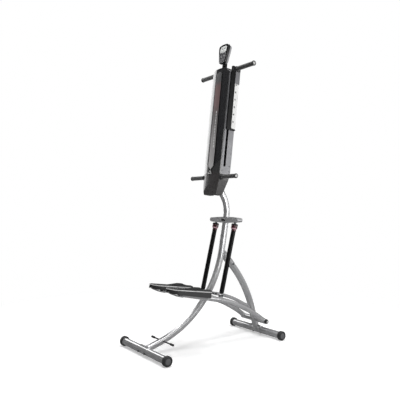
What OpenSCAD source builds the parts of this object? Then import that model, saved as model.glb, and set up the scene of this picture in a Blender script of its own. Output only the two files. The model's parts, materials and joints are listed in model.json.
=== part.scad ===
// Vertical climber: a leaning tower on a curved upright, two stepping pedals on
// long pivoted arms with hydraulic cylinders, and two hand grips that slide down
// the tower's sides.  +Z is up, +Y points from the user towards the rear leg, and
// the origin is on the floor, midway between the two stabilizer tubes.

/* [Base] */
// Distance between the two stabilizer tubes
base_l = 986; // [960:1:1010]
// Overall width across the front end caps
front_w = 588; // [560:1:620]
// Overall width across the rear end caps
rear_w = 570; // [560:1:620]
// Outside diameter of the stabilizer tubes
stab_d = 50; // [46:1:52]
// Outside diameter of the end caps
cap_d = 66; // [62:1:70]
// Wall thickness of the frame tubes
wall = 2; // [1.5:0.1:2.5]

/* [Upright and rear leg] */
// Side of the rounded square upright tube
upright_w = 40; // [38:0.5:42]
// Outside diameter of the rear leg
leg_d = 48; // [44:1:50]
// Bend radius of the big lower curve
sweep_r = 760; // [740:1:780]
// Height of the straight part above the big curve
upright_mid = 241; // [230:1:250]
// Length of the short forward run below the tower
upright_jog = 106; // [100:1:112]
// Backward lean of the tower in degrees
lean = 6.6; // [6:0.1:7.2]

/* [Tower] */
// Width of the tower across its side panels
tower_w = 184; // [180:1:190]
// Height of the tower along its own axis
tower_h = 945; // [935:1:955]
// Depth of the tower from front to back
tower_t = 110; // [106:1:114]
// Wall thickness of the covers
skin = 3; // [2:0.5:3.5]
// Half width of the raised front panel
decal_w = 36; // [32:1:40]

/* [Sliding handles] */
// Bottom end of the carriages, measured up the tower
slide_s = 486; // [480:1:495]
// Length of a carriage
slide_l = 419; // [405:1:419]
// How far the handles slide down
slide_travel = 240; // [200:1:240]
// Distance between the tips of the upper handles
handle_span = 604; // [560:1:620]
// Diameter of the foam grips
grip_d = 32; // [30:0.5:34]
// Distance between the tips of the lower handles
low_span = 524; // [500:1:540]

/* [Pedals] */
// Distance of each pedal's centre line from the middle
pedal_x = 110; // [106:1:114]
// Width of a pedal
pedal_w = 124; // [116:1:124]
// Length of a pedal
pedal_l = 326; // [310:1:330]
// Diameter of the pedal arm tubes
arm_d = 36; // [34:1:38]
// Bend radius of the pedal arms
arm_r = 1143; // [1120:1:1160]

/* [Cylinders] */
// Outside diameter of the hydraulic cylinders
cyl_d = 33; // [30:0.5:34]
// Diameter of the piston rods
rod_d = 12; // [10:0.5:13]
// Distance from the upper pivot to the end of the cylinder body
cyl_l = 518; // [505:1:519]

/* [Hidden] */
$fn = 48;

function dir(a) = [cos(a), sin(a)];
function front(y) = y - base_l / 2;            // y measured from the front stabilizer
// One step of a path: s = [length, turn]; a turn of 0 is a straight run.
function step_r(s) = s[0] * 180 / (PI * s[1]);
function step_p(p, a, s) = s[1] == 0
    ? p + s[0] * dir(a)
    : p + step_r(s) * [sin(a + s[1]) - sin(a), cos(a) - cos(a + s[1])];
function path_p(p, a, path, i = 0) = i == len(path)
    ? p
    : path_p(step_p(p, a, path[i]), a + path[i][1], path, i + 1);
function start_p(p, a, path, i) = path_p(p, a, [for (k = [0:1:i - 1]) path[k]]);
function start_a(a, path, i) = i == 0 ? a : start_a(a, path, i - 1) + path[i - 1][1];
function arc(r, turn) = [r * abs(turn) * PI / 180, turn];

// Stabilizers
stab_z = cap_d / 2;
cap_w = 28;
bead = 0.2;                                     // height of a weld bead
saddle_w = 110;
saddle_r = stab_d / 2 + 4;
front_p = [front(0), stab_z];
rear_p = [front(base_l), stab_z];

// Upright, from the front stabilizer up into the tower
foot_a = 17;
top_a = 90 - lean;
upright_path = [
    [125.5, 0], arc(sweep_r, 63), [upright_mid, 0], arc(212, 40), [upright_jog, 0],
    arc(100, top_a - 120), [140, 0]
];
mast_p = path_p(front_p, foot_a, upright_path);

// Rear leg, from the rear stabilizer up to the sleeve on the upright
leg_a = 106;
leg_path = [[150, 0], arc(900, 26), [80, 0]];
leg_top = path_p(rear_p, leg_a, leg_path);
sleeve_a = leg_a + leg_path[1][1];
sleeve_l = 92;
sleeve_bolt = leg_top - 56 * dir(sleeve_a);

// Centre brace between the upright and the rear leg
brace_p = [front(572), 347];
brace_a = -13;
brace_path = [[30, 0], arc(900, -15), [105, 0]];
brace_d = 24;

// Pedal arms turn on the axle at the foot of the rear leg
axle_p = [front(965), 113];
axle_r = 10;
arm_a = 144;
arm_path = [[40, 0], arc(arm_r, 23.3), [322, 0]];
pedal_p = path_p(axle_p, arm_a, [arm_path[0], arm_path[1], [252, 0]]);
arm_tilt = arm_a + arm_path[1][1] - 180;
pedal_tilt = -8.7;
sleeve_in = leg_d / 2 + 1;
sleeve_out = pedal_x + 20;
bush_r = 14;
deck_z = 36;
deck_h = 43;                                    // depth of a pedal at the toes
heel_h = 28;                                    // and at the heel
heel_foot = -140;                               // where its heel stands on the strap

// Cylinder pivots
crossbar_p = path_p(front_p, foot_a, [upright_path[0], upright_path[1], [215, 0]]);
upper_p = [crossbar_p[0], crossbar_p[1] - 8];
clevis_turn = 21.65;                            // how far round the arm's bend the clevis stands
clevis_base = path_p(axle_p, arm_a, [arm_path[0], arc(arm_r, clevis_turn)]);
clevis_a = arm_a + clevis_turn - 90;
clevis_h = 32;
lower_p = clevis_base + clevis_h * dir(clevis_a);
cyl_v = lower_p - upper_p;
cyl_len = norm(cyl_v);
cyl_a = atan2(cyl_v[1], cyl_v[0]);
pin_r = 4;
open_r = 10.4;                                  // wide eye of the upper pivot
crossbar_w = 322;
neck_r = 7;
dial_z = 20;                                    // top of the dial below the upper pivot
dial_h = 40;
dial_r = 23;

// Tower frame: s runs up the axis, t runs back from the front face
mast_t = 58;
mast_s = 285;
tower_p = mast_p - mast_s * dir(top_a) + mast_t * dir(top_a + 90);
half_w = tower_w / 2;
low_half = 72;
face_r = 309;
arch_r = 114;
split_s = 150;
decal_top = 876;                                // centre of the panel's arched end
side_t = 24;
slot_t = 51;
slot_w = 20;
slot_s0 = slide_s - slide_travel - 40;
rod_x = 62;
guide_r = 7;
column_w = upright_w + 6.2;
lug_h = 56;
low_lug = slide_s + 14;
top_lug = slide_s + 320;
low_bracket_s = 176;
top_bracket_s = 908;
low_handle = [28.6, 129];                       // t and s of the lower handle bar
handle = [67, 918];                             // t and s of the upper handles
rail_x = half_w + 0.6;
lip = 12;                                       // foot of a carriage, below its white bar
grip_hole = 25 / 2;

// Console
console_p = [151.4, 2026.4];
console_tilt = 10;
console_h = 146;
case_t = 20;
back_t = 19;
neck_t = 42;
small_key = [15, 12];

// ---- shared shapes -------------------------------------------------------
// A local frame at p in the Y-Z plane, its own +Z along direction a
module at(p, a) { translate([0, p[0], p[1]]) rotate([a - 90, 0, 0]) children(); }
module along_x(p, x = 0) { translate([x, p[0], p[1]]) rotate([0, 90, 0]) children(); }

// Sweeps its first child, a profile, along straight runs and round bends.  Its second
// child is the slightly wider profile of the weld beads where the runs meet.
module sweep(p, a, path) {
    for (i = [0:len(path) - 1]) segment(p, a, path, i) children(0);
    for (i = [1:len(path) - 1]) at(start_p(p, a, path, i), start_a(a, path, i))
        linear_extrude(2, center = true) children(1);
}
module segment(p, a, path, i) {
    r = path[i][1] == 0 ? 0 : step_r(path[i]);
    at(start_p(p, a, path, i), start_a(a, path, i))
        if (r == 0) linear_extrude(path[i][0]) children();
        else translate([0, -r, 0]) rotate([90, 0, 90]) rotate([0, 0, r > 0 ? 0 : 180 + path[i][1]])
            rotate_extrude(angle = abs(path[i][1]), $fn = 180) translate([abs(r), 0])
                let ($fn = 48) children();
}
module ring(d, w) { difference() { circle(d = d); circle(d = d - 2 * w); } }
module soft_square(w, r) {
    square([w, w - 2 * r], center = true);
    square([w - 2 * r, w], center = true);
    for (i = [-1, 1], j = [-1, 1]) translate([i, j] * (w / 2 - r)) circle(r);
}
module soft_rect(w, h, r) {
    if (h > 2 * r) translate([-w / 2, r]) square([w, h - 2 * r]);
    if (w > 2 * r) translate([-w / 2 + r, 0]) square([w - 2 * r, h]);
    for (i = [-1, 1], y = [r, h - r]) translate([i * (w / 2 - r), y]) circle(r);
}
module tube_x(d, w, x0, x1) {
    rotate([0, 90, 0]) translate([0, 0, x0]) linear_extrude(x1 - x0) ring(d, w);
}
module bar_x(r, x0, x1) { rotate([0, 90, 0]) translate([0, 0, x0]) cylinder(r = r, h = x1 - x0); }
module on_side(side) { mirror([side < 0 ? 1 : 0, 0, 0]) children(); }
// Bolt along +X from x0 to x1, with a domed head at x1 and a nut at x0
module bolt_x(x0, x1, r = 4) {
    bar_x(r, x0, x1);
    bar_x(1.9 * r, x1, x1 + 3.5);
    bar_x(1.3 * r, x1 + 3.5, x1 + 5.5);
    rotate([0, -90, 0]) translate([0, 0, -x0]) cylinder(r = 1.8 * r, h = 6, $fn = 6);
}

// ---- base ----------------------------------------------------------------
module stabilizer(p, w) {
    difference() {
        translate([0, p[0], p[1]]) tube_x(stab_d, wall, -w / 2 + 8, w / 2 - 8);
        saddle_holes(p);
    }
}
module saddle_holes(p) {
    a = p == front_p ? foot_a : leg_a;
    for (x = [-40, 40]) translate([x, 0, 0]) at(p, a) cylinder(r = 4, h = 80, center = true);
}
module foot_cap(p, w) {
    translate([w / 2 - cap_w, p[0], p[1]]) rotate([0, 90, 0])
        difference() {
            rotate_extrude() polygon([
                [0, 20], [stab_d / 2, 20], [stab_d / 2, 0], [cap_d / 2 - 2, 0],
                [cap_d / 2 + 0.5, 2.5], [cap_d / 2 + 0.5, cap_w - 6], [cap_d / 2 - 5, cap_w],
                [cap_d / 2 - 11, cap_w], [cap_d / 2 - 13, cap_w - 2.5], [0, cap_w - 2.5]
            ]);
            for (i = [0:15]) rotate((i + 0.5) * 22.5) translate([cap_d / 2 + 3, 0, 4])
                cylinder(r = 4, h = cap_w - 11, $fn = 24);
            translate([stab_z, -60, -1]) cube([20, 120, cap_w + 2]);
        }
}
module front_stabilizer() { color("silver") stabilizer(front_p, front_w); }
module rear_stabilizer() { color("silver") stabilizer(rear_p, rear_w); }
module foot_caps() {
    color([0.07, 0.07, 0.07])
        for (side = [-1, 1]) on_side(side) {
            foot_cap(front_p, front_w);
            foot_cap(rear_p, rear_w);
        }
}
module saddle(p, a) {
    difference() {
        translate([0, p[0], p[1]]) rotate([90, 0, 90])
            linear_extrude(saddle_w, center = true) difference() {
                circle(saddle_r);
                circle(stab_d / 2);
                rotate(a) translate([-2 * saddle_r, -2 * saddle_r])
                    square([2 * saddle_r, 4 * saddle_r]);
            }
        saddle_holes(p);
    }
}
module saddles() {
    color("lightgray") {
        saddle(front_p, foot_a);
        saddle(rear_p, leg_a);
    }
}

// ---- upright, leg and brace ----------------------------------------------
module square_ring(w, r, t) { difference() { soft_square(w, r); soft_square(w - 2 * t, r - t); } }
module main_upright() {
    color([0.72, 0.72, 0.74])
        difference() {
            sweep(front_p, foot_a, upright_path) {
                square_ring(upright_w, 13, wall);
                square_ring(upright_w + 2 * bead, 13 + bead, wall + 2 * bead);
            }
            along_x(front_p) cylinder(r = saddle_r, h = 200, center = true);
            along_x(stop_p) cylinder(r = 5, h = 100, center = true);
            along_x(brace_p) cylinder(r = pin_r, h = 100, center = true);
            for (x = [-1, 1]) translate([x * 12, crossbar_p[0], crossbar_p[1]])
                rotate([90, 0, 0]) cylinder(r = pin_r, h = 100, center = true);
        }
}
module rear_leg() {
    color([0.74, 0.74, 0.76]) {
        difference() {
            segment(rear_p, leg_a, leg_path, 0) ring(leg_d, wall);
            along_x(rear_p) cylinder(r = saddle_r, h = 200, center = true);
            along_x(axle_p) cylinder(r = axle_r, h = 100, center = true);
        }
        segment(rear_p, leg_a, leg_path, 1) ring(leg_d, wall);
        difference() {
            segment(rear_p, leg_a, leg_path, 2) ring(leg_d, wall);
            along_x(sleeve_bolt) cylinder(r = pin_r, h = 100, center = true);
        }
        for (i = [1:2]) at(start_p(rear_p, leg_a, leg_path, i), start_a(leg_a, leg_path, i))
            linear_extrude(2, center = true) ring(leg_d + 2 * bead, wall + 2 * bead);
    }
}
module leg_sleeve() {
    color([0.76, 0.76, 0.78])
        difference() {
            at(leg_top, sleeve_a)
                difference() {
                    translate([0, 0, -sleeve_l + 25]) cylinder(d = leg_d + 6, h = sleeve_l + 30);
                    translate([0, 0, -sleeve_l]) cylinder(d = leg_d + 0.2, h = sleeve_l + 6);
                }
            for (i = [1, 2]) segment(front_p, foot_a, upright_path, i) soft_square(upright_w, 13);
            translate([-50, upright_at_sleeve - 100, 0]) cube([100, 100, 1200]);
            along_x(sleeve_bolt) cylinder(r = pin_r, h = 100, center = true);
        }
}
upright_at_sleeve = path_p(front_p, foot_a, [upright_path[0], upright_path[1]])[0];
module centre_brace() {
    tab_x = upright_w / 2 + 0.2;
    color([0.78, 0.78, 0.8])
        difference() {
            union() {
                difference() {
                    sweep(brace_p, brace_a, brace_path) {
                        ring(brace_d, wall);
                        ring(brace_d + 2 * bead, wall + 2 * bead);
                    }
                    at(brace_p, brace_a) translate([-50, -50, -50]) cube([100, 100, 78]);
                }
                for (side = [-1, 1]) on_side(side) at(brace_p, brace_a)
                    translate([tab_x, -11, -11]) cube([4, 22, 52]);
                at(brace_p, brace_a) translate([-tab_x - 4, -11, 33]) cube([2 * tab_x + 8, 22, 8]);
            }
            segment(rear_p, leg_a, leg_path, 1) circle(d = leg_d);
            along_x(brace_p) cylinder(r = pin_r, h = 100, center = true);
        }
}
stop_p = front_p + 142.5 * dir(foot_a);
module stop_rod() {
    color([0.25, 0.25, 0.26]) translate([0, stop_p[0], stop_p[1]]) bar_x(5, -128, 128);
}
module stop_tips() {
    color([0.1, 0.1, 0.1])
        for (side = [-1, 1]) on_side(side) translate([0, stop_p[0], stop_p[1]])
            difference() { bar_x(8, 104, 135); bar_x(5, 103, 128); }
}
module pivot_axle() {
    color([0.6, 0.6, 0.62]) translate([0, axle_p[0], axle_p[1]])
        bar_x(axle_r, -sleeve_out - 9, sleeve_out + 9);
}
module axle_caps() {
    color([0.05, 0.05, 0.05])
        for (side = [-1, 1]) on_side(side) along_x(axle_p, sleeve_out + 1)
            rotate_extrude() polygon([
                [axle_r, 0], [16, 0], [16.5, 2], [16.5, 10], [13, 14], [6, 15], [0, 15],
                [0, 8], [axle_r, 8]
            ]);
}

// ---- crossbar ------------------------------------------------------------
crossbar_z = crossbar_p[1];
module crossbar_outline(w, mid, end) {
    for (side = [-1, 1]) translate([side * (w / 2 - end / 2), 0]) circle(d = end);
    polygon([
        [-w / 2 + end / 2, end / 2], [-55, mid / 2], [55, mid / 2], [w / 2 - end / 2, end / 2],
        [w / 2 - end / 2, -end / 2], [55, -mid / 2], [-55, -mid / 2], [-w / 2 + end / 2, -end / 2]
    ]);
}
// A channel, open underneath, that wraps the upright and carries the cylinder ears
module crossbar() {
    depth = upright_w + 8;
    color([0.6, 0.6, 0.61])
        difference() {
            union() {
                difference() {
                    translate([0, crossbar_p[0] + depth / 2, crossbar_z]) rotate([90, 0, 0])
                        linear_extrude(depth) crossbar_outline(crossbar_w, 42, 30);
                    translate([0, crossbar_p[0] + depth / 2 - 3, crossbar_z]) rotate([90, 0, 0])
                        linear_extrude(depth - 6) translate([0, -9])
                            crossbar_outline(crossbar_w - 6, 42, 30);
                }
                for (side = [-1, 1], gap = [-15, 11]) on_side(side)
                    translate([pedal_x + gap, upper_p[0] - 14, upper_p[1] - 9])
                        cube([4, 28, crossbar_z + 12 - upper_p[1] + 9]);
            }
            segment(front_p, foot_a, upright_path, 2) soft_square(upright_w, 13);
            for (side = [-1, 1]) on_side(side) along_x(upper_p, pedal_x)
                cylinder(r = pin_r, h = 60, center = true);
            for (x = [-1, 1]) translate([x * 12, crossbar_p[0], crossbar_z])
                rotate([90, 0, 0]) cylinder(r = pin_r, h = 100, center = true);
        }
}
module frame_bolts() {
    color([0.12, 0.12, 0.12]) {
        for (x = [-40, 40]) {
            translate([x, 0, 0]) at(front_p, foot_a) rotate([0, -90, 0])
                bolt_x(-stab_d / 2, saddle_r);
            translate([x, 0, 0]) at(rear_p, leg_a) rotate([0, -90, 0])
                bolt_x(-stab_d / 2, saddle_r);
        }
        translate([0, sleeve_bolt[0], sleeve_bolt[1]]) bolt_x(-leg_d / 2 - 3, leg_d / 2 + 3);
        translate([0, brace_p[0], brace_p[1]])
            bolt_x(-upright_w / 2 - 4.2, upright_w / 2 + 4.2);
        for (x = [-1, 1]) translate([x * 12, crossbar_p[0], crossbar_z]) rotate([0, 0, -90])
            bolt_x(-upright_w / 2 - 4, upright_w / 2 + 4);
        for (side = [-1, 1]) on_side(side) translate([pedal_x, upper_p[0], upper_p[1]])
            bolt_x(-15, 15);
    }
}

// ---- tower ---------------------------------------------------------------
module tower() { translate([0, tower_p[0], tower_p[1]]) rotate([-lean, 0, 0]) children(); }
// The tower's outer form, shrunk by i on every side
module tower_form(i) {
    w = half_w - i;
    intersection() {
        linear_extrude(tower_h) intersection() {
            translate([-w, 0]) square([2 * w, 2 * tower_t]);
            translate([0, face_r]) circle(face_r - i, $fn = 360);
        }
        rotate([90, 0, 90]) linear_extrude(2 * tower_w, center = true) polygon([
            [14 + i, i], [68 - i, i], [108 - i, split_s + 5], [tower_t - i, 300],
            [tower_t - i, tower_h - 4 - i], [i, tower_h - 14 - i], [i, 70]
        ]);
        translate([0, 2 * tower_t, 0]) rotate([90, 0, 0]) linear_extrude(3 * tower_t)
            intersection() {
                polygon([
                    [-low_half + i, i], [low_half - i, i], [w, 110], [w, tower_h],
                    [-w, tower_h], [-w, 110]
                ]);
                union() {
                    translate([-tower_w, 0]) square([2 * tower_w, tower_h - arch_r]);
                    translate([0, tower_h - arch_r]) circle(arch_r - i, $fn = 180);
                }
            }
    }
}
module tower_shell() { difference() { tower_form(0); tower_form(skin); } }
module slab(x, t0, t1, s0, s1) { translate([-x, t0, s0]) cube([2 * x, t1 - t0, s1 - s0]); }
// Front outline of the dark housing: a low peak that rises to the middle
module housing_peak() {
    translate([0, side_t, 0]) rotate([90, 0, 0]) linear_extrude(side_t + 20)
        polygon([[-half_w - 1, split_s - 1], [half_w + 1, split_s - 1], [half_w + 1, split_s],
            [0, 172], [-half_w - 1, split_s]]);
}
// The two triangles between the peak below and the point of the raised panel above
module accent_zone() {
    translate([0, side_t, 0]) rotate([90, 0, 0]) linear_extrude(side_t + 20)
        for (side = [-1, 1]) polygon([[0, 172], [side * (half_w + 1), split_s],
            [side * (half_w + 1), 172 + (half_w + 1) * 40 / 44]]);
}
module front_cover() {
    color([0.2, 0.2, 0.21]) tower() difference() {
        intersection() { tower_shell(); slab(half_w + 1, -5, side_t, split_s, tower_h + 1); }
        housing_peak();
        accent_zone();
        decal_recess(decal_w + 0.1, 0.1);
    }
}
// Outline of the raised panel: arched at the top and pointed at the bottom
module decal_outline(w) {
    intersection() {
        union() {
            translate([-w, 210]) square([2 * w, decal_top - 210]);
            polygon([[-w, 210], [0, 210 - w * 40 / 44], [w, 210]]);
            translate([0, decal_top]) circle(w, $fn = 96);
        }
        translate([-w, 0]) square([2 * w, tower_h]);
    }
}
module decal_recess(w, grow) {
    translate([0, 3 + grow, 0]) rotate([90, 0, 0]) linear_extrude(20) decal_outline(w);
}
module decal_panel() {
    color([0.45, 0.38, 0.38]) tower() translate([0, 3, 0]) rotate([90, 0, 0])
        linear_extrude(4.5) decal_outline(decal_w);
}
module chrome_accents() {
    color("gainsboro") tower() intersection() { tower_shell(); accent_zone(); }
}
module lower_housing() {
    color([0.22, 0.21, 0.22]) tower() difference() {
        union() {
            intersection() { tower_shell(); slab(half_w + 1, -5, tower_t + 5, 0, split_s); }
            intersection() { tower_shell(); housing_peak(); }
        }
        translate([0, low_handle[0], low_handle[1]]) bar_x(11, -half_w - 5, half_w + 5);
        slab(24, 30, 120, -1, 130);
    }
}
module side_panel() {
    difference() {
        intersection() {
            tower_shell();
            translate([20, side_t, split_s]) cube([half_w, tower_t, top_bracket_s - split_s]);
        }
        slab(half_w - skin, tower_t - 8, tower_t + 5, split_s - 1, tower_h);
        translate([half_w - 20, 0, 0]) rotate([90, 0, 90]) linear_extrude(40)
            translate([slot_t, slot_s0])
                soft_rect(slot_w, slide_s + slide_l - 9 - slot_s0, slot_w / 2);
    }
}
module side_panel_left() { color([0.68, 0.68, 0.69]) tower() on_side(-1) side_panel(); }
module side_panel_right() { color([0.68, 0.68, 0.69]) tower() side_panel(); }
module rear_cover() {
    color([0.3, 0.3, 0.31]) tower() intersection() {
        tower_shell();
        slab(half_w - skin, tower_t - 8, tower_t + 5, split_s, top_bracket_s);
    }
}
// The cap and the neck that stands up through it behind the console
module top_cap() {
    color([0.1, 0.1, 0.1]) {
        tower() intersection() {
            tower_shell();
            slab(half_w + 1, side_t, tower_t + 5, top_bracket_s, tower_h + 1);
        }
        difference() {
            tower() slab(15, neck_t - 11, neck_t + 11, top_bracket_s, tower_h + 72);
            console() console_slab(-60, case_t + back_t) console_outline(0);
        }
    }
}
module tower_column() {
    color([0.35, 0.35, 0.36]) tower() translate([0, mast_t, 150])
        linear_extrude(top_bracket_s - 150) difference() {
            soft_square(column_w, 16);
            soft_square(upright_w + 0.2, 13.1);
        }
}
// Two plates on the column, joined by a round guide rod on each side
module rail_frame() {
    color([0.4, 0.4, 0.42]) tower() {
        for (s = [low_bracket_s, top_bracket_s - 6]) difference() {
            slab(s > 500 ? 72 : 84, slot_t - 20, mast_t + 34, s, s + 6);
            translate([0, mast_t, s - 1]) linear_extrude(8) soft_square(column_w, 16);
        }
        for (x = [-1, 1]) translate([x * rod_x, slot_t, low_bracket_s])
            cylinder(r = guide_r, h = top_bracket_s - low_bracket_s);
    }
}
// Rubber tubes on the guide rods that stop the carriages at both ends
module slide_bumpers() {
    color([0.08, 0.08, 0.08]) tower()
        for (x = [-1, 1]) translate([x * rod_x, slot_t, 0]) difference() {
            union() {
                translate([0, 0, low_bracket_s + 6])
                    cylinder(r = 13, h = low_lug - slide_travel - 0.5 - low_bracket_s - 6);
                translate([0, 0, top_lug + lug_h + 0.5])
                    cylinder(r = 13, h = top_bracket_s - 6.5 - top_lug - lug_h);
            }
            cylinder(r = guide_r, h = tower_h);
        }
}

// ---- lower handles -------------------------------------------------------
module lower_handle_bar() {
    color([0.15, 0.15, 0.15]) tower() translate([0, low_handle[0], low_handle[1]])
        tube_x(20, wall, -low_span / 2 + 6, low_span / 2 - 6);
}
module grip_sleeve(r_in, d, x0, x1) {
    rotate([0, 90, 0]) translate([0, 0, x0]) difference() {
        rotate_extrude() polygon([
            [0, 0], [d / 2 - 3, 0], [d / 2, 3], [d / 2, x1 - x0 - 2], [d / 2 - 2, x1 - x0],
            [0, x1 - x0]
        ]);
        translate([0, 0, -1]) cylinder(r = r_in, h = x1 - x0 + 2);
    }
}
module grip_end(r_in, d, x0, x1) {
    rotate([0, 90, 0]) translate([0, 0, x0]) rotate_extrude() polygon([
        [0, 4], [r_in, 4], [r_in, 0], [d / 2 + 1, 0], [d / 2 + 2, 2], [d / 2 + 1, x1 - x0 - 2],
        [d / 2 - 3, x1 - x0], [d / 2 - 6, x1 - x0 - 1.5], [0, x1 - x0]
    ]);
}
module lower_grips() {
    color([0.13, 0.13, 0.13]) tower() translate([0, low_handle[0], low_handle[1]])
        for (side = [-1, 1]) on_side(side)
            grip_sleeve(10, grip_d - 2, half_w + 14, low_span / 2 - 10);
}
module lower_grip_plugs() {
    color([0.75, 0.75, 0.75]) tower() translate([0, low_handle[0], low_handle[1]])
        for (side = [-1, 1]) on_side(side)
            grip_end(10, grip_d - 2, low_span / 2 - 10, low_span / 2);
}

// ---- console -------------------------------------------------------------
module console() {
    translate([0, console_p[0], console_p[1]]) rotate([-console_tilt, 0, 0]) children();
}
// Outline of the case, wider at the top, shrunk by i
module console_outline(i) {
    half = [[25, i], [33 - i, 8], [50 - i, 92], [54 - i, 130], [45 - i, 142 - i], [18, console_h - i]];
    polygon(concat(half, [for (k = [len(half) - 1:-1:0]) [-half[k][0], half[k][1]]]));
}
module console_slab(t0, t1) {
    translate([0, t1, 0]) rotate([90, 0, 0]) linear_extrude(t1 - t0) children();
}
module key_places(row) {
    if (row == 2) translate([0, 21]) children();
    else translate([row == 0 ? -16 : 16, 53]) children();
}
module key_shape(row, grow) {
    key_places(row)
        if (row == 2) circle(9.5 + grow);
        else translate([0, -small_key[1] / 2 - grow])
            soft_rect(small_key[0] + 2 * grow, small_key[1] + 2 * grow, small_key[1] / 2 + grow);
}
module console_case() {
    color([0.06, 0.06, 0.06]) console() difference() {
        console_slab(0, case_t) console_outline(0);
        console_slab(4, case_t + 1) console_outline(3);
        console_slab(-1, 5) translate([0, 86]) soft_rect(72, 48, 8);
        for (row = [0:2]) console_slab(-1, 5) key_shape(row, 0.3);
    }
}
module console_back() {
    color([0.55, 0.55, 0.56]) console() difference() {
        console_slab(case_t, case_t + back_t) console_outline(4);
        console_slab(case_t - 1, case_t + back_t - 3) console_outline(7);
    }
}
module console_lens() {
    color([0.75, 0.78, 0.76]) console() console_slab(4, 7) translate([0, 82]) soft_rect(80, 55, 6);
}
// A moulded key: the button in its opening and a wider flange behind the case
module console_key(row) {
    console_slab(-1, 5) key_shape(row, 0);
    console_slab(4.2, 7.2) key_shape(row, 4);
}
module console_key_a() { color([0.5, 0.5, 0.51]) console() console_key(0); }
module console_key_b() { color([0.5, 0.5, 0.51]) console() console_key(1); }
module console_key_c() { color([0.3, 0.3, 0.31]) console() console_key(2); }

// ---- sliding handles -----------------------------------------------------
module carriage() {
    difference() {
        union() {
            translate([rail_x, 0, 0]) rotate([90, 0, 90]) linear_extrude(11.4) {
                translate([51.45, slide_s - lip]) soft_rect(36.9, slide_l + lip, 6);
                translate([71.5, slide_s - lip]) soft_rect(77, lip - 0.2, 5);
            }
            for (s = [low_lug, top_lug]) {
                translate([48, slot_t - 8, s]) cube([rail_x - 47, 16, lug_h]);
                translate([46, slot_t - 15, s]) cube([34, 30, lug_h]);
            }
        }
        translate([rod_x, slot_t, 0]) cylinder(r = guide_r + 0.05, h = 1000);
    }
}
module carriage_left() { color([0.04, 0.04, 0.04]) tower() on_side(-1) carriage(); }
module carriage_right() { color([0.04, 0.04, 0.04]) tower() carriage(); }
module adjust_bar() {
    difference() {
        translate([rail_x + 2, 0, 0]) rotate([90, 0, 90]) linear_extrude(8.4)
            translate([89.75, slide_s]) soft_rect(35.5, 400, 10);
        for (i = [0:6]) translate([rail_x, 0, 0]) rotate([90, 0, 90])
            translate([84, slide_s + 50 + 54.5 * i, 0]) cylinder(r = 4, h = 20);
    }
}
module adjust_bar_left() { color("white") tower() on_side(-1) adjust_bar(); }
module adjust_bar_right() { color("white") tower() adjust_bar(); }
module handle_sleeve() {
    difference() {
        translate([rail_x, 70, slide_s + 330]) cube([12.5, 40, slide_l - 330]);
        translate([rail_x + 1.9, 71.9, slide_s + 320]) cube([8.6, 35.7, 80.1]);
    }
}
module handle_sleeve_left() { color([0.8, 0.8, 0.81]) tower() on_side(-1) handle_sleeve(); }
module handle_sleeve_right() { color([0.8, 0.8, 0.81]) tower() handle_sleeve(); }
module handle_bar() {
    difference() {
        union() {
            translate([rail_x, 36, slide_s + slide_l]) cube([18, 70, 34]);
            translate([0, handle[0], handle[1] + 4]) bar_x(19, rail_x, rail_x + 26);
            translate([0, handle[0], handle[1] + 4]) bar_x(grip_hole, 100, handle_span / 2 - 6);
        }
        translate([0, handle[0], handle[1] + 4]) bar_x(grip_hole - wall, 130, handle_span / 2);
        translate([rail_x - 1, 20, slide_s + slide_l - 60]) cube([40, 100, 60]);
    }
}
module handle_bar_left() { color([0.1, 0.1, 0.1]) tower() on_side(-1) handle_bar(); }
module handle_bar_right() { color([0.1, 0.1, 0.1]) tower() handle_bar(); }
module handle_grip() {
    translate([0, handle[0], handle[1] + 4])
        grip_sleeve(grip_hole, grip_d, rail_x + 30, handle_span / 2 - 10);
}
module grip_left() { color([0.13, 0.13, 0.13]) tower() on_side(-1) handle_grip(); }
module grip_right() { color([0.13, 0.13, 0.13]) tower() handle_grip(); }
module handle_plug() {
    translate([0, handle[0], handle[1] + 4])
        grip_end(grip_hole, grip_d, handle_span / 2 - 10, handle_span / 2);
}
module grip_plug_left() { color([0.75, 0.75, 0.75]) tower() on_side(-1) handle_plug(); }
module grip_plug_right() { color([0.75, 0.75, 0.75]) tower() handle_plug(); }

// ---- pedals --------------------------------------------------------------
module clevis_ear() {
    circle(12);
    rotate(clevis_a - 90) translate([0, -11]) square([clevis_h - 10, 22]);
}
// The bent strap that carries the heel of the pedal, past the end of the tube
module heel_strap() {
    pedal_frame() rotate([90, 0, 90]) linear_extrude(34, center = true) polygon([
        [-45, -17], [-85, -13], [-120, -4], [heel_foot - 10, 7],
        [heel_foot - 10, 16], [-120, 5], [-85, -4], [-45, -8]
    ]);
}
module pedal_arm() {
    difference() {
        union() {
            heel_strap();
            translate([pedal_x, 0, 0]) sweep(axle_p, arm_a, arm_path) {
                ring(arm_d, wall);
                ring(arm_d + 2 * bead, wall + 2 * bead);
            }
            translate([0, axle_p[0], axle_p[1]]) bar_x(arm_d / 2 + 1.5, sleeve_in, sleeve_out);
            for (gap = [-13, 9]) along_x(lower_p, pedal_x + gap) linear_extrude(4) clevis_ear();
        }
        translate([0, axle_p[0], axle_p[1]]) bar_x(bush_r, sleeve_in - 1, sleeve_out + 1);
        translate([pedal_x, lower_p[0], lower_p[1]]) bar_x(pin_r, -30, 30);
    }
}
module pedal_arm_left() { color([0.8, 0.8, 0.82]) on_side(-1) pedal_arm(); }
module pedal_arm_right() { color([0.8, 0.8, 0.82]) pedal_arm(); }
module arm_bushes() {
    translate([0, axle_p[0], axle_p[1]]) for (x = [sleeve_in, sleeve_out - 26]) difference() {
        bar_x(bush_r, x, x + 26);
        bar_x(axle_r + 0.05, x - 1, x + 27);
    }
}
module arm_bushes_left() { color([0.7, 0.6, 0.35]) on_side(-1) arm_bushes(); }
module arm_bushes_right() { color([0.7, 0.6, 0.35]) arm_bushes(); }
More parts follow.
